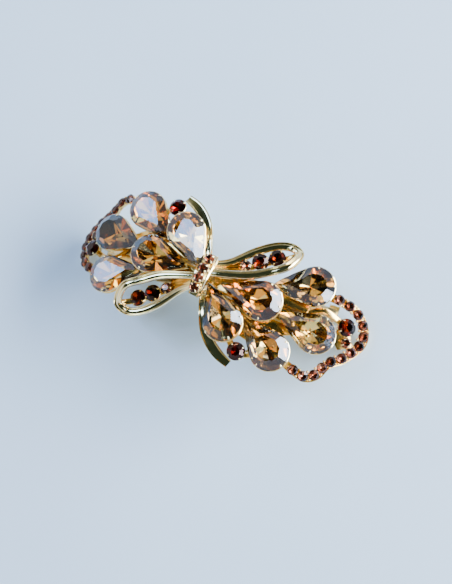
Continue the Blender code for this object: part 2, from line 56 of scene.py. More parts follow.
APEX = 16.8
DOME_RADIUS_X = 94.0
DOME_RADIUS_Y = 101.5
DOME_DROOP = 2.41e-6
STEEPEST_SETTING = 0.5
PEAR_RADIUS = 4.8
PEAR_REACH = 10.5
PEAR_CROWN = 1.8
PEAR_PAVILION = 2.9
PEAR_FOCUS = 2.0
CULET_X = 1.3
GIRDLE = 0.15
RED_RADIUS = 2.18
LOOP_STONE_RADIUS = 2.04
LOOP_SMALL_RADIUS = 1.36
SMALL_RADIUS = 1.22
CHAIN_RADIUS = 1.34
RIB_LIFT = -3.3
TANGENT = math.acos(PEAR_RADIUS / PEAR_REACH)
CHAIN_STRIP_LIFT = -1.5
CHAIN_STRIP_END_LIFT = -2.7
CHAIN_BEAD_RADIUS = 0.32
CHAIN_BEAD_OFFSET = 0.95
CHAIN_BEAD_SHAPE = (1.0, 1.0, 1.1)

PEARS = (
    (8.45, -9.2, 131.5, 2.2, 0.7),
    (15.7, -1.3, 177.6, 2.0, 1.0),
    (26.0, 6.6, 199.0, 1.8, 0.4),
    (29.7, -4.25, 171.0, 2.1, 0.6),
    (21.15, -12.05, 147.0, 2.3, 0.5),
)
RED_STONE = (13.6, -14.8, 1.4)
DARK_RED_STONE = (35.5, 0.45, 0.4)
WING_SMALL_STONE = (36.35, -3.1, 0.3)
LOOP_STONES = (
    (8.6, 5.7, 0.3, LOOP_SMALL_RADIUS),
    (11.65, 7.85, 0.3, LOOP_STONE_RADIUS),
    (15.15, 10.1, 0.3, LOOP_STONE_RADIUS),
)
KNOT_STONES = ((0.19, 1.23, 4.5), (0.56, 3.89, 3.8))
CHAIN_STONE_COUNT = 13
PEG = (15.95, -13.9, 0.8)
PEG_RADIUS = 0.45
PEG_PROFILE = ((0.0, -2.0), (0.4, -2.0), (0.28, -0.3), (0.28, 0.0), (0.0, 0.0))
CHAIN_ROUTE = (
    (31.8, 6.05),
    (36.1, 5.1),
    (39.0, 1.7),
    (39.3, -2.2),
    (36.7, -6.8),
    (33.8, -9.6),
    (32.2, -13.0),
    (29.9, -14.6),
    (27.1, -14.05),
)
LOOP_ROUTE = (
    (0.6, 2.9, 2.4, 1.5, 1.2),
    (4.8, 5.3, 0.3, 1.8, 1.3),
    (9.5, 10.0, -0.7, 2.2, 1.3),
    (13.7, 13.0, -0.8, 2.2, 1.3),
    (17.3, 13.9, -0.3, 2.2, 1.3),
    (20.0, 12.5, 1.0, 2.1, 1.3),
    (18.8, 8.5, 2.9, 2.1, 1.3),
    (14.5, 5.5, 2.1, 2.1, 1.3),
    (9.6, 3.0, 2.2, 2.1, 1.3),
    (0.9, 0.7, 2.5, 1.6, 1.2),
)
LOOP_BRIDGE = (
    (1.2, 1.9, 2.0, 1.4, 0.9),
    (5.2, 3.6, -0.4, 1.6, 0.9),
    (8.5, 5.6, -1.9, 1.6, 0.9),
    (15.0, 9.9, -1.9, 1.6, 0.9),
    (18.0, 11.6, -1.0, 1.6, 0.9),
    (19.7, 12.6, 0.8, 1.4, 0.9),
)
KNOT_BAND = (
    (0.75, 5.4, 1.4, 2.6, 1.0),
    (0.55, 4.0, 1.9, 3.4, 1.2),
    (0.2, 1.4, 2.9, 3.8, 1.2),
    (-0.2, -1.4, 2.9, 3.8, 1.2),
    (-0.55, -4.0, 1.9, 3.4, 1.2),
    (-0.75, -5.4, 1.4, 2.6, 1.0),
)
TAIL_ROUTE = (
    (1.4, -1.7, -3.0, 2.0, 1.0),
    (0.9, -3.8, -1.0, 2.0, 1.0),
    (2.4, -8.0, -0.3, 2.3, 1.0),
    (4.1, -11.8, -0.3, 2.6, 1.0),
    (6.3, -14.5, -0.3, 2.8, 1.0),
    (9.2, -16.7, -0.3, 2.7, 1.0),
    (12.4, -18.1, -0.4, 2.1, 0.9),
)
MAIN_RIB = (
    (-24.5, 3.0, -3.6, 3.0, 0.8),
    (-14.0, 1.0, RIB_LIFT, 3.6, 0.8),
    (0.0, 0.0, RIB_LIFT, 4.0, 0.8),
    (14.0, -1.0, RIB_LIFT, 3.6, 0.8),
    (24.5, -3.0, -3.6, 3.0, 0.8),
)
RIBS = (
    (
        (0.5, -0.5, RIB_LIFT, 2.4, 0.8),
        (5.0, -5.8, RIB_LIFT, 2.4, 0.8),
        (11.5, -9.2, RIB_LIFT, 2.4, 0.8),
        (18.0, -10.6, -3.6, 2.4, 0.8),
    ),
    ((12.0, -0.8, RIB_LIFT, 2.4, 0.8), (18.0, 3.0, RIB_LIFT, 2.4, 0.8), (23.5, 5.6, -3.6, 2.4, 0.8)),
    (
        (23.6, -2.4, -3.6, 1.8, 0.9),
        (26.6, 1.0, -2.6, 1.6, 0.9),
        (29.6, 2.3, -1.5, 1.6, 0.9),
        (34.8, 0.7, -2.0, 1.6, 0.9),
    ),
    ((35.2, 0.2, -2.1, 2.2, 0.8), (36.4, -3.0, -1.8, 2.2, 0.8), (38.6, -4.2, -1.7, 1.8, 0.7)),
    ((8.8, -11.0, -2.4, 1.6, 0.9), (13.6, -14.8, -0.9, 1.8, 0.9), (18.9, -12.8, -2.2, 1.6, 0.9)),
)
# Span of foil tones under the facets of a pear, for those that differ from the rest: a darker span is
# painted shade on that pear, a paler span painted light.
COMMON_TONES = (0.14, 0.84)
PEAR_PAINTED_LIGHT_AND_SHADE = {
    "left_2": (0.08, 0.7),
    "left_4": (0.02, 0.4),
    "right_2": (0.08, 0.72),
    "right_3": (0.1, 0.78),
    "right_4": (0.42, 0.84),
}
# Pears that sit a few degrees off true in their cups: turns about X and Y.
TILTS = {"left_2": (-3.0, 0.0), "right_2": (0.0, 2.0), "left_4": (0.0, -3.0)}
WEBS = (
    (
        (3.0, -3.2, -1.6, 1.6, 0.5),
        (9.0, -4.6, -2.0, 3.0, 0.5),
        (15.0, -5.8, -2.0, 4.0, 0.5),
        (19.5, -6.0, -2.2, 3.8, 0.5),
        (24.0, -5.0, -2.8, 2.0, 0.5),
    ),
    (
        (4.0, 0.4, -1.4, 1.6, 0.5),
        (12.0, 1.8, -2.0, 3.0, 0.5),
        (18.0, 2.2, -2.2, 4.0, 0.5),
        (25.5, 1.6, -2.4, 3.4, 0.5),
    ),
    ((34.4, 0.4, -1.7, 2.2, 0.6), (34.9, -2.2, -1.5, 4.4, 0.6), (35.8, -4.6, -1.7, 3.0, 0.6)),
)
HALF_TURN = Matrix.Rotation(math.pi, 4, "Z")
SIDES = (("right", Matrix.Identity(4)), ("left", HALF_TURN))


def dome(x, y):
    """Height of the decoration's middle surface."""
    fall = x * x / (2 * DOME_RADIUS_X) + DOME_DROOP * x**4 + y * y / (2 * DOME_RADIUS_Y)
    return APEX - fall


def normal(x, y):
    """Upward direction of the dome, which stops leaning further out near the wing ends."""
    slope_x = x / DOME_RADIUS_X + 4 * DOME_DROOP * x**3
    slope_x = max(-STEEPEST_SETTING, min(STEEPEST_SETTING, slope_x))
    return Vector((slope_x, y / DOME_RADIUS_Y, 1.0)).normalized()


def at(x, y, lift=0.0):
    """Point at a lift above the dome, in metres."""
    return Vector((x, y, dome(x, y) + lift)) * MM


def setting(x, y, lift, spin=0.0):
    """Frame of a round stone: girdle at the lift, table facing out of the dome."""
    up = normal(x, y)
    turn = Vector((0.0, 0.0, 1.0)).rotation_difference(up)
    spun = Matrix.Rotation(math.radians(spin), 4, "Z")
    return Matrix.Translation(at(x, y, lift)) @ turn.to_matrix().to_4x4() @ spun


def pear_frame(x, y, heading, end_lift, tip_lift):
    """Frame of a pear: X runs from the middle of its round end to its tip."""
    angle = math.radians(heading)
    tip_x = x + PEAR_REACH * math.cos(angle)
    tip_y = y + PEAR_REACH * math.sin(angle)
    end = at(x, y, end_lift)
    along = (at(tip_x, tip_y, tip_lift) - end).normalized()
    across = normal((x + tip_x) / 2, (y + tip_y) / 2).cross(along).normalized()
    turn = Matrix((along, across, along.cross(across))).transposed()
    return Matrix.Translation(end) @ turn.to_4x4()


def seated_pear(side, turn, index, row):
    """Frame of a pear as it sits in the finished clip."""
    matrix = turn @ pear_frame(*row)
    about_x, about_y = TILTS.get(f"{side}_{index}", (0.0, 0.0))
    middle = matrix @ Vector((PEAR_FOCUS * MM, 0.0, 0.0))
    lean = Matrix.Rotation(math.radians(about_x), 4, "X")
    lean = lean @ Matrix.Rotation(math.radians(about_y), 4, "Y")
    return Matrix.Translation(middle) @ lean @ Matrix.Translation(-middle) @ matrix


def smooth_rows(rows, per_span):
    """Rows of numbers joined by a Catmull-Rom curve with per_span steps between two rows."""
    rows = [Vector(row) for row in rows]
    ends = [2 * rows[0] - rows[1], *rows, 2 * rows[-1] - rows[-2]]
    found = []
    for a, b, c, d in zip(ends, ends[1:], ends[2:], ends[3:]):
        for step in range(per_span):
            t = step / per_span
            found.append(
                b + 0.5 * t * (c - a + t * (2 * a - 5 * b + 4 * c - d + t * (3 * b - 3 * c + d - a)))
            )
    return [*found, rows[-1]]


def evenly(points, count):
    """Points at even distances along a line, with one on each end."""
    lengths = [(b - a).length for a, b in zip(points, points[1:])]
    total = sum(lengths)
    found = []
    for index in range(count):
        left = total * index / (count - 1)
        span = 0
        while span < len(lengths) - 1 and left > lengths[span]:
            left -= lengths[span]
            span += 1
        found.append(points[span].lerp(points[span + 1], left / lengths[span]))
    return found


# ---------------------------------------------------------------- materials


def fill_ramp(ramp, stops):
    """Give a colour ramp its stops, each a position and a colour."""
    elements = ramp.color_ramp.elements
    while len(elements) < len(stops):
        elements.new(0.5)
    for element, (position, colour) in zip(elements, stops):
        element.position = position
        element.color = (*colour, 1.0)


class Nodes:
    """A material's node tree with short ways to add and link nodes."""

    def __init__(self, name):
        self.material = bpy.data.materials.new(name)
        self.material.use_nodes = True
        self.tree = self.material.node_tree
        self.shader = self.tree.nodes["Principled BSDF"]

    def add(self, kind, **settings):
        node = self.tree.nodes.new(kind)
        for key, value in settings.items():
            setattr(node, key, value)
        return node

    def link(self, source, target):
        self.tree.links.new(source, target)

    def set(self, **values):
        for name, value in values.items():
            self.shader.inputs[name.replace("_", " ")].default_value = value

    def noise(self, scale, detail=3.0, stretch=(1.0, 1.0, 1.0)):
        place = self.add("ShaderNodeTexCoord")
        mapping = self.add("ShaderNodeMapping")
        mapping.inputs["Scale"].default_value = stretch
        noise = self.add("ShaderNodeTexNoise")
        noise.inputs["Scale"].default_value = scale
        noise.inputs["Detail"].default_value = detail
        self.link(place.outputs["Object"], mapping.inputs["Vector"])
        self.link(mapping.outputs["Vector"], noise.inputs["Vector"])
        return noise.outputs["Fac"]

    def ramp(self, fac, stops):
        ramp = self.add("ShaderNodeValToRGB")
        fill_ramp(ramp, stops)
        self.link(fac, ramp.inputs["Fac"])
        return ramp.outputs["Color"]

    def spread(self, fac, low, high):
        spread = self.add("ShaderNodeMapRange")
        spread.inputs["From Min"].default_value = 0.3
        spread.inputs["From Max"].default_value = 0.7
        spread.inputs["To Min"].default_value = low
        spread.inputs["To Max"].default_value = high
        self.link(fac, spread.inputs["Value"])
        return spread.outputs["Result"]

    def bump(self, height, strength, distance):
        bump = self.add("ShaderNodeBump")
        bump.inputs["Strength"].default_value = strength
        bump.inputs["Distance"].default_value = distance
        self.link(height, bump.inputs["Height"])
        self.link(bump.outputs["Normal"], self.shader.inputs["Normal"])


RIPPLE_DEPTH = 0.00006
SCUFF_ROUGHNESS = 0.025
# Facet tones paint glints and dark reflections; above PALE_TONE the foil turns matt, up to
# MATT_ROUGHNESS more at MATT_TONE.
DARKEST_TO_PALEST = (0.0, 0.84)
PALE_TONES = (0.9, 1.0)
PALE_TONE = 0.85
MATT_TONE = 0.9
MATT_ROUGHNESS = 0.4


def metal(name, pale, deep, smooth, dull, ripple, stretch=(1.0, 1.0, 1.0)):
    """Polished plating with faint casting ripples, tone drift and a slightly duller patchwork."""
    made = Nodes(name)
    tone = made.ramp(made.noise(380.0, detail=4.0, stretch=stretch), ((0.3, pale), (0.75, deep)))
    made.link(tone, made.shader.inputs["Base Color"])
    patches = made.spread(made.noise(900.0, detail=5.0, stretch=stretch), smooth, dull)
    made.link(patches, made.shader.inputs["Roughness"])
    made.bump(made.noise(650.0, detail=2.0, stretch=stretch), ripple, RIPPLE_DEPTH)
    made.set(Metallic=1.0)
    return made.material


def glass(name, tint, tint_deep, ior, sheen_tint):
    """Cut lead glass, faintly uneven in tone, whose surface reflections carry a tint."""
    made = Nodes(name)
    tone = made.ramp(made.noise(260.0, detail=2.0), ((0.35, tint), (0.7, tint_deep)))
    made.link(tone, made.shader.inputs["Base Color"])
    scuffs = made.spread(made.noise(1500.0), 0.0, SCUFF_ROUGHNESS)
    made.link(scuffs, made.shader.inputs["Roughness"])
    made.set(Transmission_Weight=1.0, IOR=ior, Specular_Tint=(*sheen_tint, 1.0))
    return made.material


def foil(name, stops, smooth, dull, mirror=1.0):
    """Mirror foil behind the glass: each pavilion facet gets its own tone, painted glints and dark
    reflections from near black to bright, and the palest are matt.
    """
    made = Nodes(name)
    facet = made.add("ShaderNodeAttribute", attribute_name="painted_glint_tone")
    tone = made.ramp(facet.outputs["Fac"], stops)
    made.link(tone, made.shader.inputs["Base Color"])
    matt = made.add("ShaderNodeMapRange")
    matt.inputs["From Min"].default_value = PALE_TONE
    matt.inputs["From Max"].default_value = MATT_TONE
    matt.inputs["To Max"].default_value = MATT_ROUGHNESS
    made.link(facet.outputs["Fac"], matt.inputs["Value"])
    both = made.add("ShaderNodeMath", operation="ADD")
    made.link(made.spread(made.noise(1200.0), smooth, dull), both.inputs[0])
    made.link(matt.outputs["Result"], both.inputs[1])
    made.link(both.outputs["Value"], made.shader.inputs["Roughness"])
    made.set(Metallic=mirror)
    return made.material


GOLD = metal(
    "pale_gold", (0.93, 0.80, 0.50), (0.90, 0.72, 0.38), smooth=0.05, dull=0.14, ripple=0.12
)
# Darker, more orange gold for recessed pieces and below the cup lips: painted shade and painted
# gold-on-gold reflection, not a second plating.
SHADED_GOLD = metal(
    "painted_shade_gold", (0.90, 0.62, 0.22), (0.78, 0.46, 0.12), smooth=0.12, dull=0.26, ripple=0.2
)
STEEL = metal(
    "plated_steel",
    (0.80, 0.68, 0.42),
    (0.72, 0.58, 0.33),
    smooth=0.2,
    dull=0.36,
    ripple=0.1,
    stretch=(0.25, 3.0, 1.0),
)
SPRING_STEEL = metal(
    "spring_steel",
    (0.70, 0.66, 0.58),
    (0.60, 0.56, 0.48),
    smooth=0.22,
    dull=0.38,
    ripple=0.1,
    stretch=(0.2, 3.5, 1.0),
)
CHAMPAGNE_GLASS = glass(
    "champagne_glass",
    (1.0, 0.93, 0.80),
    (0.99, 0.85, 0.64),
    ior=1.72,
    sheen_tint=(0.80, 0.86, 1.0),
)
# The foil's colour is amber gold; its near-black olive stops paint dark reflections, its bright stops
# glints, and the lilac-white top stop the pale rim reflection.
CHAMPAGNE_FOIL = foil(
    "champagne_foil",
    (
        (0.0, (0.05, 0.055, 0.04)),
        (0.12, (0.12, 0.11, 0.07)),
        (0.25, (0.56, 0.25, 0.05)),
        (0.42, (0.92, 0.42, 0.06)),
        (0.62, (1.0, 0.64, 0.16)),
        (0.76, (1.0, 0.84, 0.42)),
        (0.84, (1.0, 0.93, 0.74)),
        (1.0, (0.90, 0.86, 0.97)),
    ),
    smooth=0.03,
    dull=0.1,
    mirror=0.98,
)
GARNET_GLASS = glass(
    "garnet_glass",
    (0.36, 0.008, 0.006),
    (0.24, 0.005, 0.004),
    ior=1.5,
    sheen_tint=(0.9, 0.55, 0.5),
)
# Mostly dark with one bright stop: the bright facets are painted red glints.
GARNET_FOIL = foil(
    "garnet_foil",
    ((0.0, (0.01, 0.001, 0.001)), (0.6, (0.1, 0.008, 0.006)), (0.72, (1.0, 0.4, 0.3))),
    smooth=0.04,
    dull=0.12,
)
TOPAZ_GLASS = glass(
    "dark_topaz_glass",
    (0.36, 0.05, 0.012),
    (0.24, 0.03, 0.008),
    ior=1.5,
    sheen_tint=(0.7, 0.5, 0.45),
)
# Mostly dark with one bright stop: the bright facets are painted orange glints.
TOPAZ_FOIL = foil(
    "dark_topaz_foil",
    ((0.0, (0.01, 0.003, 0.001)), (0.62, (0.1, 0.02, 0.01)), (0.74, (1.0, 0.7, 0.3))),
    smooth=0.04,
    dull=0.12,
)
MOCHA_GLASS = glass(
    "mocha_glass",
    (0.60, 0.32, 0.22),
    (0.44, 0.21, 0.14),
    ior=1.6,
    sheen_tint=(0.7, 0.55, 0.52),
)
# Dark to pale pink stops: the pale facets are painted glints.
MOCHA_FOIL = foil(
    "mocha_foil",
    (
        (0.0, (0.03, 0.01, 0.005)),
        (0.5, (0.2, 0.07, 0.035)),
        (0.68, (0.8, 0.42, 0.27)),
        (0.84, (1.0, 0.85, 0.75)),
    ),
    smooth=0.05,
    dull=0.14,
)
# Each look is the glass in front and the foil behind.
CHAMPAGNE = (CHAMPAGNE_GLASS, CHAMPAGNE_FOIL)
GARNET = (GARNET_GLASS, GARNET_FOIL)
TOPAZ = (TOPAZ_GLASS, TOPAZ_FOIL)
MOCHA = (MOCHA_GLASS, MOCHA_FOIL)


# ---------------------------------------------------------------- piece making


def piece(name, bm, materials, replaced, matrix=None, corner=None):
    """New piece of the decoration, flat shaded or smooth up to a corner angle in degrees."""
    mesh = bpy.data.meshes.new(name)
    bm.to_mesh(mesh)
    bm.free()
    for material in materials:
        mesh.materials.append(material)
    if corner is not None:
        mesh.polygons.foreach_set("use_smooth", [True] * len(mesh.polygons))
        mesh.set_sharp_from_angle(angle=math.radians(corner))
    obj = bpy.data.objects.new(name, mesh)
    bpy.context.scene.collection.objects.link(obj)
    if matrix is not None:
        obj.matrix_world = matrix
    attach(obj, DECORATION)
    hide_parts(replaced)


def cast(name, bm, materials, casting, corner):
    """Piece of gold casting, with its faces turned outwards."""
    bmesh.ops.recalc_face_normals(bm, faces=bm.faces)
    piece(name, bm, materials, casting, None, corner)


def add_rings(bm, rings):
    """Skin through rings of equal count, with caps on the first and the last."""
    loops = [[bm.verts.new(point) for point in ring] for ring in rings]
    for lower, upper in zip(loops, loops[1:]):
        for i, vert in enumerate(lower):
            j = (i + 1) % len(lower)
            bm.faces.new((vert, lower[j], upper[j], upper[i]))
    bm.faces.new(reversed(loops[0]))
    bm.faces.new(loops[-1])


def add_sweep(bm, rows, section, per_span=6, turn=None):
    """Strip over the dome whose section is (across, up) in halves of its width and thickness."""
    stations = []
    for x, y, lift, width, thickness in smooth_rows(rows, per_span):
        stations.append((at(x, y, lift), normal(x, y), width * MM, thickness * MM))
    places = [station[0] for station in stations]
    rings = []
    for index, (place, up, width, thickness) in enumerate(stations):
        before = places[max(index - 1, 0)]
        after = places[min(index + 1, len(places) - 1)]
        along = (after - before).normalized()
        across = along.cross(up).normalized()
        up = across.cross(along)
        ring = [place + across * (0.5 * width * u) + up * (0.5 * thickness * v) for u, v in section]
        rings.append([turn @ point for point in ring] if turn else ring)
    add_rings(bm, rings)


def add_bead(bm, matrix, radius, squash=(1.0, 1.0, 1.0), u=12, v=8):
    scale = Matrix.Diagonal((*(radius * MM * s for s in squash), 1.0))
    bmesh.ops.create_uvsphere(bm, u_segments=u, v_segments=v, radius=1.0, matrix=matrix @ scale)


def add_turned(bm, matrix, profile, steps=32):
    """Closed ring of metal: the profile (radius, height) runs from the axis back to the axis."""
    rings = []
    for radius, height in profile:
        ring = []
        for step in range(steps):
            angle = 2 * math.pi * step / steps
            point = Vector((radius * math.cos(angle), radius * math.sin(angle), height)) * MM
            ring.append(matrix @ point)
        rings.append(ring)
    add_rings(bm, rings)


# ---------------------------------------------------------------- cut stones

CUT_TOLERANCE = 1e-5
MERGE_DISTANCE = 0.004
# Facets whose normal points down further than this are foiled.
FOILED_BELOW = -0.05
SAME_FACING = 0.9999
# Tilts of facets in degrees; steep ones are that much steeper than the facet down to the culet.
PEAR_MAIN_TILT = 37.0
PEAR_BREAK_TILT = 47.0
PEAR_BREAK_RISE = 0.1
PEAR_STEEP = 12.0
PEAR_PALE_FACETS = 7
ROUND_MAINS = 8
ROUND_MAIN_TILT = 34.0
ROUND_BREAK_TILT = 41.0
ROUND_STEEP = 5.0
# Heights of a round stone above and below its girdle, as shares of its radius.
ROUND_TABLE = 0.42
ROUND_CULET = 0.62
ROUND_BLANK = 0.64
FLANK_BOW = 0.25


def pear_outline(arc_steps=22, flank_steps=3):
    """Girdle of a pear stone: a round end on the origin and flanks that bow out a little."""
    out = Vector((math.cos(TANGENT), math.sin(TANGENT)))
    touch = out * PEAR_RADIUS
    tip = Vector((PEAR_REACH, 0.0))
    upper = []
    for step in range(1, flank_steps):
        t = step / flank_steps
        upper.append(tip.lerp(touch, t) + out * (FLANK_BOW * math.sin(math.pi * t) ** 0.8))
    arc = []
    for step in range(arc_steps + 1):
        angle = TANGENT + 2 * (math.pi - TANGENT) * step / arc_steps
        arc.append(Vector((math.cos(angle), math.sin(angle))) * PEAR_RADIUS)
    lower = [Vector((point.x, -point.y)) for point in reversed(upper)]
    return [tip, *upper, *arc, *lower]


def circle_outline(radius, steps):
    """Girdle of a round stone."""
    turns = [2 * math.pi * (step + 0.5) / steps for step in range(steps)]
    return [Vector((math.cos(angle), math.sin(angle))) * radius for angle in turns]


def support(outline, angle):
    """How far the outline reaches in a direction, and that direction."""
    out = Vector((math.cos(angle), math.sin(angle)))
    return max(outline, key=lambda point: point.dot(out)).dot(out), out


def crown_plane(outline, degrees, tilt, rise=0.0):
    """Facet rising inwards from the girdle, or from a rise above it, at a tilt from level."""
    reach, out = support(outline, math.radians(degrees))
    tilt = math.radians(tilt)
    facing = Vector((math.sin(tilt) * out.x, math.sin(tilt) * out.y, math.cos(tilt)))
    return Vector((out.x * reach, out.y * reach, GIRDLE + rise)), facing


def pavilion_plane(outline, degrees, culet, steeper=0.0):
    """Facet from the girdle down to the culet, or steeper than that to cut only near the girdle."""
    reach, out = support(outline, math.radians(degrees))
    run = reach - culet.x * out.x
    tilt = math.atan2(-culet.z - GIRDLE, run) + math.radians(steeper)
    facing = Vector((math.sin(tilt) * out.x, math.sin(tilt) * out.y, -math.cos(tilt)))
    return Vector((out.x * reach, out.y * reach, -GIRDLE)), facing


def cut_stone(outline, table, depth, planes, seed, pale_facets=0, glint_and_shade_span=DARKEST_TO_PALEST):
    """Prism on the girdle outline, cut flat by each facet plane in turn, in metres.

    The last pale_facets planes are the steep ones round the girdle; their faces get the palest tones, a
    painted pale reflection of the rim, and the other faces get random tones that paint glints and dark
    reflections.
    """
    bm = bmesh.new()
    add_rings(bm, [[Vector((p.x, p.y, z)) for p in outline] for z in (-depth, table)])
    for place, facing in planes:
        geometry = [*bm.verts, *bm.edges, *bm.faces]
        bmesh.ops.bisect_plane(
            bm, geom=geometry, dist=CUT_TOLERANCE, plane_co=place, plane_no=facing, clear_outer=True
        )
        open_edges = [edge for edge in bm.edges if len(edge.link_faces) == 1]
        if open_edges:
            bmesh.ops.holes_fill(bm, edges=open_edges)
    bmesh.ops.remove_doubles(bm, verts=bm.verts, dist=MERGE_DISTANCE)
    bmesh.ops.recalc_face_normals(bm, faces=bm.faces)
    draw = random.Random(seed)
    tone = bm.faces.layers.float.new("painted_glint_tone")
    steep = [facing for _, facing in planes[len(planes) - pale_facets :]] if pale_facets else []
    # Each face's tone paints light: a glint, a dark reflection, or the pale rim reflection on the steep
    # facets.
    for face in bm.faces:
        face.material_index = 1 if face.normal.z < FOILED_BELOW else 0
        pale = any(face.normal.dot(facing) > SAME_FACING for facing in steep)
        face[tone] = draw.uniform(*PALE_TONES) if pale else draw.uniform(*glint_and_shade_span)
    bmesh.ops.scale(bm, vec=(MM, MM, MM), verts=bm.verts)
    return bm


def pear_planes(outline):
    culet = Vector((CULET_X, 0.0, -PEAR_PAVILION))
    flank = math.degrees(TANGENT)
    mains = [flank, 102.0, 141.0, 180.0, 219.0, 258.0, 360.0 - flank]
    planes = [crown_plane(outline, angle, PEAR_MAIN_TILT) for angle in mains]
    for a, b in zip(mains, mains[1:]):
        planes.append(crown_plane(outline, (a + b) / 2, PEAR_BREAK_TILT, PEAR_BREAK_RISE))
    deep = [52.0, flank + 5.0, 100.0, 132.0, 164.0]
    deep = [*deep, *(360.0 - angle for angle in reversed(deep))]
    planes += [pavilion_plane(outline, angle, culet) for angle in deep]
    for a, b in zip(deep[1:], deep[2:-1]):
        planes.append(pavilion_plane(outline, (a + b) / 2, culet, PEAR_STEEP))
    return planes


def round_planes(outline, radius):
    """Mains all round the crown and pavilion, with breaks between them on the larger stones."""
    step = 360.0 / ROUND_MAINS
    culet = Vector((0.0, 0.0, -ROUND_CULET * radius))
    breaks = []
    if radius > CHAIN_RADIUS:
        breaks = [step * (index / 2 + 0.25) for index in range(2 * ROUND_MAINS)]
    planes = [crown_plane(outline, step * index, ROUND_MAIN_TILT) for index in range(ROUND_MAINS)]
    planes += [crown_plane(outline, angle, ROUND_BREAK_TILT) for angle in breaks]
    planes += [pavilion_plane(outline, step * (index + 0.5), culet) for index in range(ROUND_MAINS)]
    planes += [pavilion_plane(outline, angle, culet, ROUND_STEEP) for angle in breaks]
    return planes


PEAR_OUTLINE = pear_outline()


def make_pears():
    planes = pear_planes(PEAR_OUTLINE)
    depth = PEAR_PAVILION + 0.05
    for side, turn in SIDES:
        for index, row in enumerate(PEARS, 1):
            seed = 11 * index + (100 if side == "left" else 0)
            glint_and_shade_span = PEAR_PAINTED_LIGHT_AND_SHADE.get(f"{side}_{index}", COMMON_TONES)
            bm = cut_stone(PEAR_OUTLINE, PEAR_CROWN, depth, planes, seed, PEAR_PALE_FACETS, glint_and_shade_span)
            name = f"pear_crystal_{side}_{index}"
            matrix = seated_pear(side, turn, index, row)
            piece(name, bm, CHAMPAGNE, f"pear_stone_{side}_{index}", matrix)


def chain_places():
    """Where the chain stones of the right side stand, as X and Y."""
    return evenly([Vector(row[:2]) for row in smooth_rows(CHAIN_ROUTE, 6)], CHAIN_STONE_COUNT)


def round_rows(side):
    """Name, CAD node, radius, look, slot and place of every round stone on one side."""
    garnet = (GARNET, "garnet_glass")
    topaz = (TOPAZ, "dark_topaz_glass")
    mocha = (MOCHA, "mocha_glass")
    rows = [
        ("red", f"red_stone_{side}", RED_RADIUS, *garnet, setting(*RED_STONE, 9.0)),
        ("dark_red", f"dark_red_stone_{side}", RED_RADIUS, *topaz, setting(*DARK_RED_STONE, 4.0)),
        ("wing_small", f"wing_small_stone_{side}", SMALL_RADIUS, *mocha, setting(*WING_SMALL_STONE)),
    ]
    for index, (x, y, lift, radius) in enumerate(LOOP_STONES, 1):
        look = mocha if radius == LOOP_SMALL_RADIUS else topaz
        place = setting(x, y, lift, 13.0 * index)
        rows.append((f"loop_{index}", f"loop_stone_{side}_{index}", radius, *look, place))
    for index, (x, y) in enumerate(chain_places(), 1):
        place = setting(x, y, 0.0, 17.0 * index)
        node = f"chain_stone_{side}_{index:02d}"
        rows.append((f"chain_{index:02d}", node, CHAIN_RADIUS, *mocha, place))
    for index, row in enumerate(KNOT_STONES, 1):
        place = setting(*row, 20.0 * index)
        rows.append((f"knot_{index}", f"knot_stone_{side}_{index}", SMALL_RADIUS, *mocha, place))
    return rows


def make_rounds():
    for side, turn in SIDES:
        seed = 500 if side == "right" else 700
        for number, (name, node, radius, materials, slot, place) in enumerate(round_rows(side)):
            outline = circle_outline(radius, 32 if radius > CHAIN_RADIUS else 16)
            planes = round_planes(outline, radius)
            table = ROUND_TABLE * radius
            bm = cut_stone(outline, table, ROUND_BLANK * radius, planes, seed + number)
            piece(f"{name}_crystal_{side}", bm, materials, node, turn @ place)


# ---------------------------------------------------------------- castings

# Sections run across from -1 to 1 in halves of the width, and up in halves of the thickness.
CHANNEL = (
    (-1.0, -0.2),
    (-1.0, 0.7),
    (-0.9, 1.0),
    (-0.78, 0.98),
    (-0.68, 0.62),
    (-0.5, 0.5),
    (0.0, 0.62),
    (0.5, 0.5),
    (0.68, 0.62),
    (0.78, 0.98),
    (0.9, 1.0),
    (1.0, 0.7),
    (1.0, -0.2),
    (0.8, -0.85),
    (0.4, -1.0),
    (-0.4, -1.0),
    (-0.8, -0.85),
)
BAND = (
    (-1.0, -0.2),
    (-1.0, 0.5),
    (-0.93, 0.88),
    (-0.84, 1.0),
    (-0.75, 0.85),
    (-0.69, 0.4),
    (-0.6, 0.3),
    (-0.45, 0.52),
    (-0.22, 0.64),
    (0.0, 0.67),
    (0.22, 0.64),
    (0.45, 0.52),
    (0.6, 0.3),
    (0.69, 0.4),
    (0.75, 0.85),
    (0.84, 1.0),
    (0.93, 0.88),
    (1.0, 0.5),
    (1.0, -0.2),
    (0.8, -0.85),
    (0.4, -1.0),
    (-0.4, -1.0),
    (-0.8, -0.85),
)


def rounded_section(steps=16, fullness=0.6):
    """Section between an ellipse and its box."""
    section = []
    for step in range(steps):
        angle = 2 * math.pi * (step + 0.5) / steps
        u = math.cos(angle)
        v = math.sin(angle)
        section.append((math.copysign(abs(u) ** fullness, u), math.copysign(abs(v) ** fullness, v)))
    return section


ROUNDED = rounded_section()
# Rings of faces of a pear cup that are the paler gold, from under its lip to inside it; the rings below
# and deeper in get the darker gold as painted shade.
LIP_RINGS = range(7, 13)
CLAW_LEAN = -48.0
CLAW_INSET = 0.12
CLAW_RISE = 0.3
CLAW_SHAPE = (0.45, 0.6, 1.15)
PEAR_CLAW_SIZE = 0.42
ROUND_CLAW_SIZE = 0.34
PEAR_CLAWS = (100.0, 180.0, 260.0)
ROUND_CUP_TOP = -0.12


def pear_ring(grow, height):
    """The pear outline grown by a distance, drawn in about its focus, at a height."""
    scale = 1 + grow / PEAR_RADIUS
    ring = []
    for point in PEAR_OUTLINE:
        x = PEAR_FOCUS + (point.x - PEAR_FOCUS) * scale
        ring.append(Vector((x, point.y * scale, height)) * MM)
    return ring


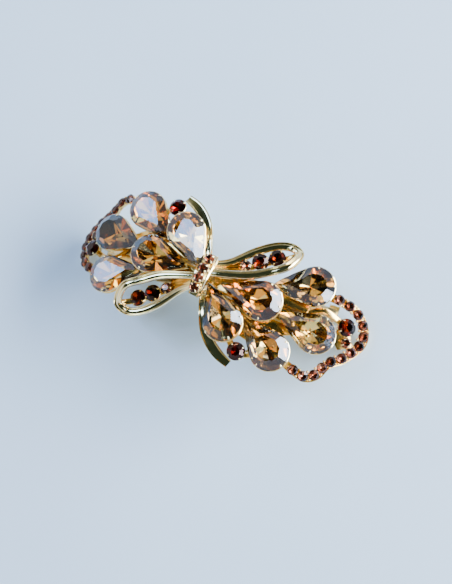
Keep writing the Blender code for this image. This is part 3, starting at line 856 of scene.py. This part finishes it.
def add_pear_cup(bm, row, matrix):
    """Open cup with a gallery rail; the faces below its lip get the darker gold, painted shade."""
    depth = (row[3] + row[4]) / 2 - RIB_LIFT + 0.3
    levels = (
        (-2.6, -depth),
        (-1.7, -depth * 0.66),
        (-0.35, -1.75),
        (-0.02, -1.55),
        (0.1, -1.4),
        (0.02, -1.25),
        (-0.12, -1.12),
        (0.0, -0.62),
        (0.12, -0.4),
        (0.17, -0.26),
        (0.16, -0.12),
        (0.08, -0.05),
        (0.01, -0.1),
        (-0.05, -0.3),
        (-0.6, -0.75),
        (-3.9, -PEAR_PAVILION - 0.2),
    )
    first = len(bm.faces)
    add_rings(bm, [[matrix @ point for point in pear_ring(*level)] for level in levels])
    bm.faces.ensure_lookup_table()
    around = len(PEAR_OUTLINE)
    for number in range(first, len(bm.faces)):
        ring = (number - first) // around
        bm.faces[number].material_index = 0 if ring in LIP_RINGS else 1


def add_claw(bm, matrix, angle, reach, size):
    """A small prong folded over the girdle at an angle in the stone's own frame."""
    turn = Matrix.Rotation(math.radians(angle), 4, "Z")
    lean = Matrix.Rotation(math.radians(CLAW_LEAN), 4, "Y")
    place = Matrix.Translation(Vector((reach - CLAW_INSET, 0.0, CLAW_RISE)) * MM)
    add_bead(bm, matrix @ turn @ place @ lean, size, CLAW_SHAPE, u=10, v=8)


def make_cups():
    for side, turn in SIDES:
        for index, row in enumerate(PEARS, 1):
            matrix = seated_pear(side, turn, index, row)
            bm = bmesh.new()
            add_pear_cup(bm, row, matrix)
            for angle in PEAR_CLAWS:
                add_claw(bm, matrix, angle, PEAR_RADIUS, PEAR_CLAW_SIZE)
            cast(f"pear_cup_{side}_{index}", bm, (GOLD, SHADED_GOLD), "wing_casting", CUP_CORNER)


def add_round_cup(bm, matrix, radius, depth, turn=45.0, claws=4):
    """Cup for a round stone, its first claw at a turn in the stone's own frame."""
    top = ROUND_CUP_TOP
    profile = (
        (0.0, -depth),
        (0.72 * radius, -depth),
        (0.85 * radius, -0.75 * depth),
        (radius + 0.02, -0.55),
        (radius + 0.1, -0.38),
        (radius + 0.11, top - 0.06),
        (radius + 0.07, top),
        (radius + 0.01, top - 0.05),
        (0.9 * radius, -0.16 * radius),
        (0.0, -0.64 * radius - 0.12),
    )
    add_turned(bm, matrix, profile)
    for claw in range(claws):
        add_claw(bm, matrix, turn + 360.0 * claw / claws, radius, ROUND_CLAW_SIZE)


def make_wing_metal():
    for side, turn in SIDES:
        bm = bmesh.new()
        add_sweep(bm, TAIL_ROUTE, CHANNEL, 8, turn)
        cast(f"bow_tail_{side}", bm, (GOLD,), "wing_casting", STRIP_CORNER)
        bm = bmesh.new()
        add_round_cup(bm, turn @ setting(*RED_STONE), RED_RADIUS, 2.0)
        add_round_cup(bm, turn @ setting(*DARK_RED_STONE), RED_RADIUS, 2.0)
        add_round_cup(bm, turn @ setting(*WING_SMALL_STONE), SMALL_RADIUS, 1.6)
        add_turned(bm, turn @ setting(*PEG), PEG_PROFILE, 14)
        add_bead(bm, turn @ setting(*PEG), PEG_RADIUS)
        cast(f"stone_cups_{side}", bm, (GOLD,), "wing_casting", CUP_CORNER)
        # Ribs and webs under the stones take the darker gold, painted shade.
        bm = bmesh.new()
        for rows in (*RIBS, *WEBS):
            add_sweep(bm, rows, ROUNDED, 6, turn)
        cast(f"wing_ribs_{side}", bm, (SHADED_GOLD,), "wing_casting", STRIP_CORNER)
        make_chain(side, turn)
    # The main rib under the knot takes the darker gold too, painted shade.
    bm = bmesh.new()
    add_sweep(bm, MAIN_RIB, ROUNDED, 8)
    cast("main_rib", bm, (SHADED_GOLD,), "wing_casting", STRIP_CORNER)


CHAIN_COLLAR = (
    (0.0, -1.35),
    (0.8, -1.35),
    (1.24, -0.6),
    (1.35, -0.32),
    (1.35, -0.18),
    (1.3, -0.16),
    (1.2, -0.32),
    (0.0, -1.0),
)


def make_chain(side, turn):
    """Strip under the chain stones, then a collar for each and two beads between neighbours."""
    # Strip, collars and beads under the chain stones take the darker gold, painted shade.
    bm = bmesh.new()
    rows = [(x, y, CHAIN_STRIP_LIFT, 2.3, 0.8) for x, y in CHAIN_ROUTE]
    start = (27.7, 6.1, CHAIN_STRIP_END_LIFT, 1.8, 0.7)
    finish = (22.8, -12.5, CHAIN_STRIP_END_LIFT, 1.8, 0.7)
    add_sweep(bm, [start, *rows, finish], CHANNEL, 8, turn)
    cast(f"chain_strip_{side}", bm, (SHADED_GOLD,), "wing_casting", STRIP_CORNER)
    bm = bmesh.new()
    places = chain_places()
    for index, place in enumerate(places):
        add_turned(bm, turn @ setting(place.x, place.y, 0.0), CHAIN_COLLAR, 20)
        if index:
            before = places[index - 1]
            middle = (before + place) / 2
            along = (place - before).normalized()
            for sign in (-1, 1):
                x = middle.x - sign * along.y * CHAIN_BEAD_OFFSET
                y = middle.y + sign * along.x * CHAIN_BEAD_OFFSET
                add_bead(bm, turn @ setting(x, y, 0.0), CHAIN_BEAD_RADIUS, CHAIN_BEAD_SHAPE, 10, 7)
    cast(f"chain_setting_{side}", bm, (SHADED_GOLD,), "wing_casting", STRIP_CORNER)


FAN_LOW = ((1.4, 1.2, 1.7), (4.6, 2.0, 1.0), (8.2, 3.2, -0.4))
FAN_HIGH = ((1.1, 2.8, 1.7), (4.6, 4.9, 0.1), (8.0, 8.2, -0.9))
FAN_PLEATS = 5
EYELET = (17.6, 13.6, 0.35)
EYELET_PROFILE = (
    (0.0, -0.5),
    (0.66, -0.5),
    (0.66, 0.1),
    (0.54, 0.2),
    (0.4, 0.1),
    (0.34, -0.2),
    (0.0, -0.2),
)
KNOT_POST_PROFILE = ((0.0, -2.5), (0.75, -2.5), (0.6, -2.0), (0.6, 2.0), (0.9, 2.6), (0.0, 2.6))
PLEAT_DEPTH = 0.42
FULL_PLEAT_WIDTH = 3.0
GORE_THICKNESS = 0.5


def add_fan(bm, turn):
    """Pleated gore between the two strands of a loop, running out from the knot."""
    across = 4 * FAN_PLEATS
    top = []
    for low_end, high_end in zip(smooth_rows(FAN_LOW, 5), smooth_rows(FAN_HIGH, 5)):
        row = []
        spread = min(1.0, (high_end - low_end).length / FULL_PLEAT_WIDTH)
        for step in range(across + 1):
            t = step / across
            place = low_end.lerp(high_end, t)
            pleat = PLEAT_DEPTH * spread * (abs((t * FAN_PLEATS) % 1.0 - 0.5) * 2 - 0.5)
            row.append(turn @ at(place.x, place.y, place.z + pleat))
        top.append(row)
    down = Vector((0.0, 0.0, -GORE_THICKNESS * MM))
    rings = [[*row, *(point + down for point in reversed(row))] for row in top]
    add_rings(bm, rings)


def make_bow():
    for side, turn in SIDES:
        bm = bmesh.new()
        add_sweep(bm, LOOP_ROUTE, BAND, 10, turn)
        add_turned(bm, turn @ setting(*EYELET), EYELET_PROFILE, 20)
        cast(f"bow_loop_{side}", bm, (GOLD,), "bow_casting", STRIP_CORNER)
        # The gore between the strands takes the darker gold, painted shade between them.
        bm = bmesh.new()
        add_fan(bm, turn)
        cast(f"bow_gore_{side}", bm, (SHADED_GOLD,), "bow_casting", PLEAT_CORNER)
        # The bridge and stone cups under the loop take the darker gold, painted shade.
        bm = bmesh.new()
        add_sweep(bm, LOOP_BRIDGE, ROUNDED, 6, turn)
        for index, (x, y, lift, radius) in enumerate(LOOP_STONES):
            add_round_cup(bm, turn @ setting(x, y, lift), radius, 1.9, 20.0 + 30.0 * index)
        cast(f"loop_bridge_{side}", bm, (SHADED_GOLD,), "bow_casting", CUP_CORNER)
    bm = bmesh.new()
    add_sweep(bm, KNOT_BAND, CHANNEL, 8)
    for _, turn in SIDES:
        for row in KNOT_STONES:
            add_round_cup(bm, turn @ setting(*row), SMALL_RADIUS, 1.5)
    post = Matrix.Translation((0.0, 0.0, (APEX - 0.1) * MM))
    add_turned(bm, post, KNOT_POST_PROFILE, 20)
    cast("bow_knot", bm, (GOLD,), "bow_casting", CUP_CORNER)


# ---------------------------------------------------------------- barrette


EDGE_BEVEL = 0.00008


def dress_barrette():
    """Metal and fine bevels on the CAD nodes that stay visible."""
    looks = {
        "base_bar": STEEL,
        "hinge_pin": STEEL,
        "clasp_arm": STEEL,
        "tension_bar": SPRING_STEEL,
        "pinch_tab_front": STEEL,
        "pinch_tab_back": STEEL,
    }
    for name, look in looks.items():
        node = nodes[name]
        node.material_slots[0].material = look
        bevel = node.modifiers.new("soft_edges", "BEVEL")
        bevel.width = EDGE_BEVEL
        bevel.segments = 2
        bevel.limit_method = "ANGLE"
        bevel.angle_limit = math.radians(BARRETTE_CORNER)


# ---------------------------------------------------------------- studio

# The photograph's view, with a focal length of 1000 pixels.
LENS = 61.64
SENSOR = 36.0
CAMERA_PLACE = (75.278, -35.329, 247.490)
CAMERA_RIGHT = (0.91087876, 0.34794979, -0.22188021)
CAMERA_UP = (-0.29979134, 0.92742037, 0.22364393)
CAMERA_BACK = (0.28359309, -0.13719474, 0.94907985)
FLOOR_TONES = ((0.3, (0.59, 0.76, 0.96)), (0.7, (0.64, 0.81, 1.0)))
FLOOR_HALF_WIDTH = 1.5
FLOOR_DROP = 0.0001
LIGHTS_AIM = (0.0, 0.0, 0.012)
LIGHTS_DISTANCE = 0.9
# Name, azimuth, elevation, width, height, power and colour of each soft box.
WINDOWS = (
    ("window_left", 167.0, 50.0, 0.25, 0.34, 5.0, (0.42, 0.63, 1.0)),
    ("window_top", 168.0, 77.0, 0.12, 0.12, 0.95, (0.48, 0.68, 1.0)),
    ("window_right", 22.0, 18.0, 1.1, 0.42, 52.0, (0.87, 0.94, 1.0)),
)
# Light of the room from straight below, at 0, to straight above, at 1.
SKY = (
    (0.0, (0.95, 1.05, 1.2)),
    (0.3, (1.5, 1.6, 1.8)),
    (0.5, (0.8, 0.84, 0.82)),
    (0.62, (0.13, 0.15, 0.10)),
    (0.76, (0.025, 0.036, 0.024)),
    (1.0, (0.03, 0.045, 0.03)),
)


def make_camera():
    data = bpy.data.cameras.new("camera")
    data.sensor_width = SENSOR
    data.lens = LENS
    data.clip_start = 0.01
    camera = bpy.data.objects.new("camera", data)
    bpy.context.scene.collection.objects.link(camera)
    turn = Matrix((CAMERA_RIGHT, CAMERA_UP, CAMERA_BACK)).transposed().to_4x4()
    camera.matrix_world = Matrix.Translation(Vector(CAMERA_PLACE) * MM) @ turn
    bpy.context.scene.camera = camera


def make_floor():
    made = Nodes("pale_floor")
    tone = made.ramp(made.noise(14.0, detail=5.0), FLOOR_TONES)
    made.link(tone, made.shader.inputs["Base Color"])
    made.bump(made.noise(120.0, detail=6.0), strength=0.06, distance=0.0005)
    made.set(Roughness=0.65)
    bm = bmesh.new()
    bmesh.ops.create_grid(bm, x_segments=4, y_segments=4, size=FLOOR_HALF_WIDTH)
    bmesh.ops.translate(bm, vec=(0.0, 0.0, -FLOOR_DROP), verts=bm.verts)
    mesh = bpy.data.meshes.new("floor")
    bm.to_mesh(mesh)
    bm.free()
    mesh.materials.append(made.material)
    floor = bpy.data.objects.new("floor", mesh)
    bpy.context.scene.collection.objects.link(floor)


def add_panel(name, azimuth, elevation, width, height, power, colour):
    """Soft box aimed at the clip from a compass direction."""
    data = bpy.data.lights.new(name, "AREA")
    data.shape = "RECTANGLE"
    data.size = width
    data.size_y = height
    data.energy = power
    data.color = colour
    light = bpy.data.objects.new(name, data)
    bpy.context.scene.collection.objects.link(light)
    a, e = math.radians(azimuth), math.radians(elevation)
    out = Vector((math.cos(a) * math.cos(e), math.sin(a) * math.cos(e), math.sin(e)))
    light.location = out * LIGHTS_DISTANCE + Vector(LIGHTS_AIM)
    light.rotation_mode = "QUATERNION"
    light.rotation_quaternion = out.to_track_quat("Z", "Y")


def make_light():
    for window in WINDOWS:
        add_panel(*window)
    world = bpy.data.worlds.new("studio")
    bpy.context.scene.world = world
    world.use_nodes = True
    tree = world.node_tree
    background = tree.nodes["Background"]
    place = tree.nodes.new("ShaderNodeTexCoord")
    split = tree.nodes.new("ShaderNodeSeparateXYZ")
    ramp = tree.nodes.new("ShaderNodeValToRGB")
    fill_ramp(ramp, SKY)
    tree.links.new(place.outputs["Generated"], split.inputs["Vector"])
    tree.links.new(split.outputs["Z"], ramp.inputs["Fac"])
    tree.links.new(ramp.outputs["Color"], background.inputs["Color"])
    background.inputs["Strength"].default_value = 1.0


make_camera()
make_floor()
make_light()
make_pears()
make_rounds()
make_cups()
make_wing_metal()
make_bow()
dress_barrette()
